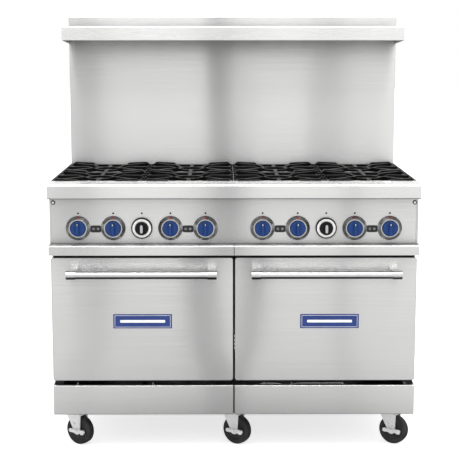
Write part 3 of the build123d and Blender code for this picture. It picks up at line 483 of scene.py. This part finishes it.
def add_tube(mesh, points, radius, steps=10):
    """Adds a round tube through a line of points, closed at both ends."""
    spots = [Vector(point) for point in points]
    rings = []
    for index, spot in enumerate(spots):
        ahead = spots[min(index + 1, len(spots) - 1)] - spots[max(index - 1, 0)]
        place = Matrix.Translation(spot) @ ahead.to_track_quat("Z", "Y").to_matrix().to_4x4()
        rings.append(add_circle(mesh, radius, 0, place, steps))
    stitch(mesh, rings)
    mesh.faces.new(list(reversed(rings[0])))
    mesh.faces.new(rings[-1])


def rounded_outline(width, height, radius, steps=8):
    """Points round a rounded rectangle, counter-clockwise."""
    points = []
    for quarter in range(4):
        middle_x = (width / 2 - radius) * (1 if quarter in (0, 3) else -1)
        middle_y = (height / 2 - radius) * (1 if quarter in (0, 1) else -1)
        for step in range(steps + 1):
            turn = math.pi / 2 * (quarter + step / steps)
            points.append((middle_x + radius * math.cos(turn), middle_y + radius * math.sin(turn)))
    return points


def add_slab(mesh, outline, low, high, place, ease=0.0):
    """Adds a slab with the outline's shape; ease pulls its top edge in a little."""
    middle = Vector((sum(p[0] for p in outline), sum(p[1] for p in outline))) / len(outline)
    levels = [(low, 0.0), (high - ease, 0.0), (high, ease)] if ease else [(low, 0.0), (high, 0.0)]
    rings = []
    for height, inset in levels:
        ring = []
        for x, y in outline:
            inward = middle - Vector((x, y))
            spot = Vector((x, y)) + inward.normalized() * inset
            ring.append(mesh.verts.new(place @ Vector((spot.x, spot.y, height))))
        rings.append(ring)
    stitch(mesh, rings)
    mesh.faces.new(list(reversed(rings[0])))
    mesh.faces.new(rings[-1])


SHARP_ANGLE = math.radians(35)


def finish_piece(name, mesh, material, body):
    """Turns a bmesh into a piece that rides on a body, smooth except at sharp edges."""
    bmesh.ops.recalc_face_normals(mesh, faces=mesh.faces)
    data = bpy.data.meshes.new(name)
    mesh.to_mesh(data)
    mesh.free()
    data.polygons.foreach_set("use_smooth", [True] * len(data.polygons))
    data.set_sharp_from_angle(angle=SHARP_ANGLE)
    data.materials.append(MATERIALS[material])
    piece = bpy.data.objects.new(name, data)
    bpy.context.scene.collection.objects.link(piece)
    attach(piece, body)


# ================================================================ fasteners
PANEL_SCREW_X = 0.597
FLANK_SCREW_Z = (0.3, 0.55, 0.8, 1.0, 1.2, 1.4)
REAR_SCREW_Z = (0.52, 0.9)
REAR_SCREW_MARGIN = 0.02
REAR_SCREW_COLUMNS = 7


def dome_profile(radius, height):
    """Pan-head screw: a low dome with a rim."""
    return [
        (0, -0.0002), (radius, -0.0002), (radius, height * 0.35), (radius * 0.93, height * 0.7),
        (radius * 0.72, height * 0.93), (radius * 0.4, height), (0, height),
    ]


def add_screw(mesh, place, radius=4.2 * MM, height=2.2 * MM):
    """A pan-head screw with a raised cross in its head."""
    add_turned(mesh, dome_profile(radius, height), place)
    for turn in (0, 90):
        arm = place @ Matrix.Rotation(math.radians(turn + 20), 4, "Z")
        bar = rounded_outline(radius * 1.1, radius * 0.2, radius * 0.08, steps=2)
        add_slab(mesh, bar, height * 0.9, height * 1.04, arm)


def add_hex_bolt(mesh, place, across=13 * MM, height=5 * MM):
    """A hexagon bolt head on a washer face."""
    reach = across / 2 / math.cos(math.pi / 6)
    corners = [(reach * math.cos(math.pi / 3 * k), reach * math.sin(math.pi / 3 * k)) for k in range(6)]
    add_turned(mesh, [(0, 0), (across * 0.6, 0), (across * 0.6, 1 * MM), (0, 1 * MM)], place)
    add_slab(mesh, corners, 1 * MM, height, place, ease=0.8 * MM)


def make_screws():
    """Screws on the panel, the sides and the back."""
    panel = bmesh.new()
    washers = bmesh.new()
    for side in (-1, 1):
        place = front_place(side * PANEL_SCREW_X, panel_low.y, panel_high.z - 17 * MM)
        add_screw(panel, place, radius=4.4 * MM, height=3.4 * MM)
        add_ring(washers, 4.2 * MM, 7.4 * MM, -0.1 * MM, 1.2 * MM, place, steps=32)
    finish_piece("panel_screws", panel, "zinc", "range_body")
    finish_piece("panel_screw_washers", washers, "black_and_gap_shade", "range_body")

    flank = bmesh.new()
    for side, face in ((-1, side_low.x), (1, side_high.x)):
        for y in (side_low.y + 0.06, (side_low.y + side_high.y) / 2, side_high.y - 0.03):
            for z in (side_low.z + 0.018, side_low.z + 0.5):
                add_screw(flank, side_place(side, face, y, z))
        for z in FLANK_SCREW_Z:
            add_screw(flank, side_place(side, face, side_high.y - 0.014, z))
    finish_piece("side_screws", flank, "zinc", "range_body")

    rear = bmesh.new()
    first = back_low.x + REAR_SCREW_MARGIN
    pitch = (back_high.x - back_low.x - 2 * REAR_SCREW_MARGIN) / (REAR_SCREW_COLUMNS - 1)
    for z in (back_low.z + 0.015, *REAR_SCREW_Z, back_high.z - 0.015):
        for column in range(REAR_SCREW_COLUMNS):
            x = first + column * pitch
            add_screw(rear, back_place(x, back_high.y, z))
    finish_piece("rear_screws", rear, "zinc", "range_body")


# ================================================================ panel furniture
DOT_RISE = 49 * MM
OFF_MARK_RISE = 34.5 * MM
OFF_MARK_TILT = -42
LABEL_DROP = 3 * MM
LABEL_WIDTH = 42 * MM
LABEL_HEIGHT = 23 * MM
LABEL_FACE = 1.15 * MM
MARK_SHIFT = 7.5 * MM
BADGE_Z = 0.447
BADGE_WIDTH = 196 * MM
BADGE_HEIGHT = 48 * MM
BADGE_SHIFT = {"left": 0.0, "right": 14 * MM}
BORDER_WIDTH = 186 * MM
BORDER_HEIGHT = 40 * MM
BORDER_LINE = 1 * MM
SCALE_INNER = 22.6 * MM
SCALE_OUTER = 30.8 * MM
TICKS = 11
TICK_STEP = 30
TICK_RADIUS = 29.5 * MM


def make_panel_marks():
    """Black dots on the panel above each control, and a red dot on each bezel."""
    dots = bmesh.new()
    for x in knob_x + dial_x:
        place = front_place(x, panel_low.y, knob_z + DOT_RISE)
        add_turned(dots, [(0, -0.0001), (3.3 * MM, -0.0001), (3.1 * MM, 0.3 * MM), (0, 0.4 * MM)], place)
    finish_piece("panel_dots", dots, "print_black", "range_body")

    red = bmesh.new()
    depth = bezel_low.y + 4.9 * MM
    tilt = Matrix.Rotation(math.radians(OFF_MARK_TILT), 4, "X")
    for x in knob_x:
        place = front_place(x, depth, knob_z + OFF_MARK_RISE) @ tilt
        add_turned(red, [(0, -0.5 * MM), (3.4 * MM, -0.5 * MM), (3.1 * MM, 0.5 * MM), (0, 0.8 * MM)], place)
    finish_piece("off_marks", red, "print_red", "range_body")


def make_labels():
    """Blank black label between each pair of knobs, with a plain ring and dot for the two burners."""
    plates = bmesh.new()
    marks = bmesh.new()
    for left, right in zip(knob_x[::2], knob_x[1::2]):
        place = front_place((left + right) / 2, panel_low.y, knob_z - LABEL_DROP)
        outline = rounded_outline(LABEL_WIDTH, LABEL_HEIGHT, 10 * MM)
        add_slab(plates, outline, -0.1 * MM, 1.2 * MM, place, 0.4 * MM)
        for hand in (-1, 1):
            spot = place @ Matrix.Translation((hand * MARK_SHIFT, 0, LABEL_FACE))
            add_ring(marks, 2.2 * MM, 3.6 * MM, 0, 0.25 * MM, spot, steps=24)
        dot = [(0, 0), (1.3 * MM, 0), (1.2 * MM, 0.25 * MM), (0, 0.3 * MM)]
        add_turned(marks, dot, place @ Matrix.Translation((MARK_SHIFT, 0, LABEL_FACE)), steps=16)
    finish_piece("burner_labels", plates, "print_black", "range_body")
    finish_piece("burner_label_marks", marks, "grip_grey", "range_body")


def make_badges():
    """Plain blue plate on each door with a fine pale border and a blank pale bar."""
    for side in SIDES:
        low, high = door_boxes[side]
        middle = (low.x + high.x) / 2 + BADGE_SHIFT[side]
        place = front_place(middle, low.y, BADGE_Z)
        plate = bmesh.new()
        outline = rounded_outline(BADGE_WIDTH, BADGE_HEIGHT, 1.5 * MM, steps=3)
        add_slab(plate, outline, -0.1 * MM, 1.4 * MM, place, 0.3 * MM)
        finish_piece(f"badge_{side}", plate, "badge_blue", f"door_{side}")
        trim = bmesh.new()
        bar = rounded_outline(150 * MM, 9 * MM, 2 * MM, steps=4)
        add_slab(trim, bar, 1.3 * MM, 1.7 * MM, place, 0.1 * MM)
        for hand in (-1, 1):
            rule = rounded_outline(BORDER_WIDTH, BORDER_LINE, 0.4 * MM, steps=2)
            spot = place @ Matrix.Translation((0, hand * (BORDER_HEIGHT - BORDER_LINE) / 2, 0))
            add_slab(trim, rule, 1.3 * MM, 1.6 * MM, spot)
            stile = rounded_outline(BORDER_LINE, BORDER_HEIGHT, 0.4 * MM, steps=2)
            spot = place @ Matrix.Translation((hand * (BORDER_WIDTH - BORDER_LINE) / 2, 0, 0))
            add_slab(trim, stile, 1.3 * MM, 1.6 * MM, spot)
        finish_piece(f"badge_trim_{side}", trim, "print_white", f"door_{side}")


def make_knob_details():
    """Pale pointer in a dark recess near the top of each knob's grip."""
    for number, knob in enumerate(KNOBS, start=1):
        low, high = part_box(knob)
        place = front_place((low.x + high.x) / 2, low.y, knob_z + 16 * MM)
        well = bmesh.new()
        add_slab(well, rounded_outline(6.4 * MM, 11 * MM, 3 * MM), -1.2 * MM, 0.2 * MM, place, 0.1 * MM)
        finish_piece(f"pointer_well_{number}", well, "print_black", f"knob_{number}")
        pointer = bmesh.new()
        spot = place @ Matrix.Translation((0, -1.4 * MM, 0.1 * MM))
        add_slab(pointer, rounded_outline(3.2 * MM, 6.5 * MM, 1.5 * MM), 0, 0.5 * MM, spot, 0.2 * MM)
        finish_piece(f"pointer_{number}", pointer, "chrome", f"knob_{number}")


def make_dial_faces():
    """White scale ring with fine ticks on each oven dial, and a grey cap on its grip."""
    for side in SIDES:
        low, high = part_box(f"oven_dial_{side}")
        face = panel_low.y - 10 * MM
        place = front_place((low.x + high.x) / 2, face, knob_z)
        ring = bmesh.new()
        add_ring(ring, SCALE_INNER, SCALE_OUTER, -0.2 * MM, 0.5 * MM, place)
        finish_piece(f"dial_scale_{side}", ring, "print_white", f"dial_{side}")
        ticks = bmesh.new()
        for step in range(TICKS):
            turn = math.radians(TICK_STEP * (step - (TICKS - 1) / 2))
            swing = place @ Matrix.Rotation(turn, 4, "Z") @ Matrix.Translation((0, TICK_RADIUS, 0))
            bar = rounded_outline(0.7 * MM, 3.0 * MM, 0.3 * MM, steps=2)
            add_slab(ticks, bar, 0.4 * MM, 0.65 * MM, swing)
        finish_piece(f"dial_ticks_{side}", ticks, "print_black", f"dial_{side}")
        cap = bmesh.new()
        top = front_place((low.x + high.x) / 2, low.y, knob_z)
        outline = rounded_outline(8.5 * MM, 27 * MM, 4 * MM)
        add_slab(cap, outline, -0.6 * MM, 0.9 * MM, top, 0.4 * MM)
        finish_piece(f"dial_cap_{side}", cap, "grip_grey", f"dial_{side}")


# ================================================================ casters, grates and the gap
PLATE_HALF_X = 50 * MM
PLATE_HALF_Y = 42 * MM
PLATE_THICK = 5 * MM
BOLT_X = 38 * MM
BOLT_Y = 31 * MM
LUG_SHARES = (0.12, 0.36, 0.64, 0.88)
LUG_INSET = 1.4 * MM
PANEL_REACH = 20 * MM
CLIP_X = (-0.53, -0.275, 0.102, 0.196, 0.368, 0.58)


def make_caster_bolts():
    """Four bolt heads under the corners of each caster plate."""
    low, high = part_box("caster_plates")
    columns = (low.x + PLATE_HALF_X, (low.x + high.x) / 2, high.x - PLATE_HALF_X)
    rows = (low.y + PLATE_HALF_Y, high.y - PLATE_HALF_Y)
    bolts = bmesh.new()
    for x in columns:
        for y in rows:
            for step_x, step_y in ((-1, -1), (-1, 1), (1, -1), (1, 1)):
                spot = (x + step_x * BOLT_X, y + step_y * BOLT_Y, high.z - PLATE_THICK)
                under = Matrix.Translation(spot) @ Matrix.Rotation(math.pi, 4, "X")
                add_hex_bolt(bolts, under)
    finish_piece("caster_bolts", bolts, "zinc", "range_body")


def make_grate_lugs():
    """Small cast lugs on the sides of each grate that face a neighbour, to keep them apart."""
    for number, grate in enumerate(GRATES, start=1):
        low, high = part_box(grate)
        lugs = bmesh.new()
        for side, edge in ((-1, low.x), (1, high.x)):
            if side_high.x - abs(edge) < PANEL_REACH:
                continue
            for share in LUG_SHARES:
                y = low.y + share * (high.y - low.y)
                lug = rounded_outline(8 * MM, 16 * MM, 2.5 * MM, steps=3)
                place = Matrix.Translation((edge - side * LUG_INSET, y, low.z + 1 * MM))
                add_slab(lugs, lug, 0, 11 * MM, place, 1.5 * MM)
        finish_piece(f"grate_lugs_{number}", lugs, "iron", f"lift_grate_{number}")


def make_gap_fittings():
    """Pilot line with its clips and posts on the chassis, which show in the gap under each door."""
    shelf = kick_high.z - 5 * MM
    depth = kick_high.y + 22 * MM
    line = bmesh.new()
    bends = [
        (0.09, 0), (0.105, 3), (0.15, 2), (0.165, -2),
        (0.205, -1), (0.22, 3), (0.37, 3), (0.378, -4),
    ]
    add_tube(line, [(x, depth, shelf + rise * MM) for x, rise in bends], 1.6 * MM)
    finish_piece("pilot_line", line, "bright_bar", "range_body")
    clips = bmesh.new()
    for x in CLIP_X:
        place = front_place(x, depth, shelf)
        outline = rounded_outline(7 * MM, 12 * MM, 2 * MM, steps=3)
        add_slab(clips, outline, 0, 1.5 * MM, place, 0.4 * MM)
    finish_piece("pilot_clips", clips, "zinc", "range_body")
    posts = bmesh.new()
    for x in CLIP_X:
        place = Matrix.Translation((x, depth + 1 * MM, kick_low.z + 3 * MM))
        outline = rounded_outline(5 * MM, 2 * MM, 0.5 * MM, steps=2)
        add_slab(posts, outline, 0, shelf - kick_low.z, place)
    finish_piece("pilot_posts", posts, "black_and_gap_shade", "range_body")


make_screws()
make_panel_marks()
make_labels()
make_badges()
make_knob_details()
make_dial_faces()
make_caster_bolts()
make_grate_lugs()
make_gap_fittings()

# ================================================================ stage
CAMERA_SETBACK = 4.051
CAMERA_HEIGHT = 1.3873
CAMERA_ASIDE = -0.0386
CAMERA_TILT = 8.761
CAMERA_PAN = -0.352
CAMERA_LENS = 98.15
FLOOR_REACH = 30
CARD_REACH = 8
CARD_LIFT = 0.5 * MM
STAND_Y = -5.4
FLAG_HEIGHT = 4
FOOT_LIFT = 1 * MM
FOOT_END_Y = -1.0
FOOT_TAPER = 0.52


def make_camera():
    """Camera a little left of the middle, looking slightly down at the front."""
    data = bpy.data.cameras.new("camera")
    data.lens = CAMERA_LENS
    data.sensor_width = 36
    camera = bpy.data.objects.new("camera", data)
    camera.location = (CAMERA_ASIDE, rail_low.y - CAMERA_SETBACK, CAMERA_HEIGHT)
    camera.rotation_euler = (math.radians(90 - CAMERA_TILT), 0, math.radians(CAMERA_PAN))
    bpy.context.scene.collection.objects.link(camera)
    bpy.context.scene.camera = camera


def make_world():
    """White studio: white behind the object, and for reflections bright above, dim aside."""
    world = bpy.data.worlds.new("studio")
    world.use_nodes = True
    tree = world.node_tree
    background = tree.nodes["Background"]

    def math_node(kind, first, second=None):
        node = tree.nodes.new("ShaderNodeMath")
        node.operation = kind
        for socket, value in zip(node.inputs, (first, second)):
            if isinstance(value, (int, float)):
                socket.default_value = value
            elif value is not None:
                tree.links.new(value, socket)
        return node.outputs[0]

    def ramp(value, stops):
        node = tree.nodes.new("ShaderNodeValToRGB")
        band = node.color_ramp
        band.interpolation = "EASE"
        while len(band.elements) < len(stops):
            band.elements.new(0.5)
        for element, (position, tone) in zip(band.elements, stops):
            element.position = position
            element.color = (tone, tone, tone, 1)
        tree.links.new(value, node.inputs["Fac"])
        return node.outputs["Color"]

    direction = tree.nodes.new("ShaderNodeTexCoord")
    split = tree.nodes.new("ShaderNodeSeparateXYZ")
    tree.links.new(direction.outputs["Generated"], split.inputs["Vector"])
    sideways = math_node("ABSOLUTE", split.outputs["X"])
    aside = ramp(sideways, [(0.0, 1.0), (0.35, 0.9), (0.7, 0.15), (1.0, 0.05)])
    above = ramp(split.outputs["Z"], [(0.0, 0.0), (0.45, 1.0)])
    studio = tree.nodes.new("ShaderNodeMix")
    studio.data_type = "RGBA"
    studio.inputs["B"].default_value = (1.0, 1.0, 1.0, 1)
    tree.links.new(aside, studio.inputs["A"])
    tree.links.new(above, studio.inputs["Factor"])
    seen = tree.nodes.new("ShaderNodeLightPath")
    plain = tree.nodes.new("ShaderNodeMix")
    plain.data_type = "RGBA"
    plain.inputs["A"].default_value = (1.0, 1.0, 1.0, 1)
    tree.links.new(studio.outputs["Result"], plain.inputs["B"])
    tree.links.new(seen.outputs["Is Glossy Ray"], plain.inputs["Factor"])
    tree.links.new(plain.outputs["Result"], background.inputs["Color"])
    bpy.context.scene.world = world


def flat_mesh(name, corners, material):
    """One four-cornered face of the stage."""
    mesh = bpy.data.meshes.new(name)
    mesh.from_pydata(corners, [], [(0, 1, 2, 3)])
    mesh.materials.append(material)
    obj = bpy.data.objects.new(name, mesh)
    bpy.context.scene.collection.objects.link(obj)
    return obj


def make_floor():
    """White paper floor, and a grey card over it that only reflections see."""
    corners = [(x * FLOOR_REACH, y * FLOOR_REACH, 0) for x, y in ((-1, -1), (1, -1), (1, 1), (-1, 1))]
    paint = Paint("floor_paper")
    paint.set(Roughness=0.9, Specular_IOR_Level=0.0)
    paint.set(Emission_Color=(1, 1, 1, 1), Emission_Strength=0.72)
    cloud = paint.noise(paint.space(), 3, detail=2)
    paper = flat_mesh("floor", corners, paint.wire(paint.ramp(cloud, [(0.3, 0.78), (0.7, 0.8)])))
    paper.visible_glossy = False

    lifted = [(x, y, CARD_LIFT) for x, y, _ in corners]
    card = Paint("floor_card")
    card.set(Base_Color=(0, 0, 0, 1), Roughness=1.0, Specular_IOR_Level=0.0, Emission_Strength=1.0)
    place = card.add("ShaderNodeTexCoord")
    away = card.add("ShaderNodeVectorMath", operation="LENGTH")
    card.link(place.outputs["Object"], away.inputs[0])
    share = card.math("DIVIDE", away.outputs["Value"], CARD_REACH)
    stops = [(0.0, 0.03), (0.09, 0.05), (0.145, 0.62), (0.5, 0.8), (1.0, 0.95)]
    card.link(card.ramp(share, stops), card.shader.inputs["Emission Color"])
    grey = flat_mesh("floor_card", lifted, card.material)
    grey.visible_camera = False
    grey.visible_diffuse = False
    grey.visible_shadow = False
    grey.visible_transmission = False


def make_flag(name, start, end, tone):
    """Dark flag that only reflections see: an upright, and a long foot if it faces the front."""
    paint = Paint(name)
    paint.set(Base_Color=(0, 0, 0, 1), Roughness=1.0, Specular_IOR_Level=0.0)
    paint.set(Emission_Color=(tone, tone, tone, 1), Emission_Strength=1.0)
    upright = [(*start, 0), (*end, 0), (*end, FLAG_HEIGHT), (*start, FLAG_HEIGHT)]
    pieces = [flat_mesh(name, upright, paint.material)]
    if start[1] == end[1]:
        near = [CAMERA_ASIDE + FOOT_TAPER * (x - CAMERA_ASIDE) for x in (end[0], start[0])]
        foot = [(*start, FOOT_LIFT), (*end, FOOT_LIFT), *((x, FOOT_END_Y, FOOT_LIFT) for x in near)]
        pieces.append(flat_mesh(name + "_foot", foot, paint.material))
    for piece in pieces:
        piece.visible_camera = False
        piece.visible_diffuse = False
        piece.visible_shadow = False


def area_light(name, place, target, size, power):
    """Rectangular soft light aimed at a point."""
    data = bpy.data.lights.new(name, "AREA")
    data.shape = "RECTANGLE"
    data.size, data.size_y = size
    data.energy = power
    light = bpy.data.objects.new(name, data)
    light.location = place
    aim = Vector(target) - Vector(place)
    light.rotation_euler = aim.to_track_quat("-Z", "Y").to_euler()
    bpy.context.scene.collection.objects.link(light)


make_camera()
make_world()
make_floor()
make_flag("camera_flag", (-0.17, STAND_Y), (0.07, STAND_Y), 0.34)
make_flag("stand_left", (-1.32, STAND_Y), (-1.0, STAND_Y), 0.58)
make_flag("stand_right", (0.82, STAND_Y), (0.98, STAND_Y), 0.58)
make_flag("flag_left", (-2.2, -1.6), (-2.2, -0.2), 0.04)
make_flag("flag_right", (2.2, -1.6), (2.2, -0.2), 0.04)
area_light("overhead", (0, -1.6, 3.6), (0, 0, 0.7), (3.0, 1.4), 70)
bpy.context.scene.view_settings.view_transform = "Standard"
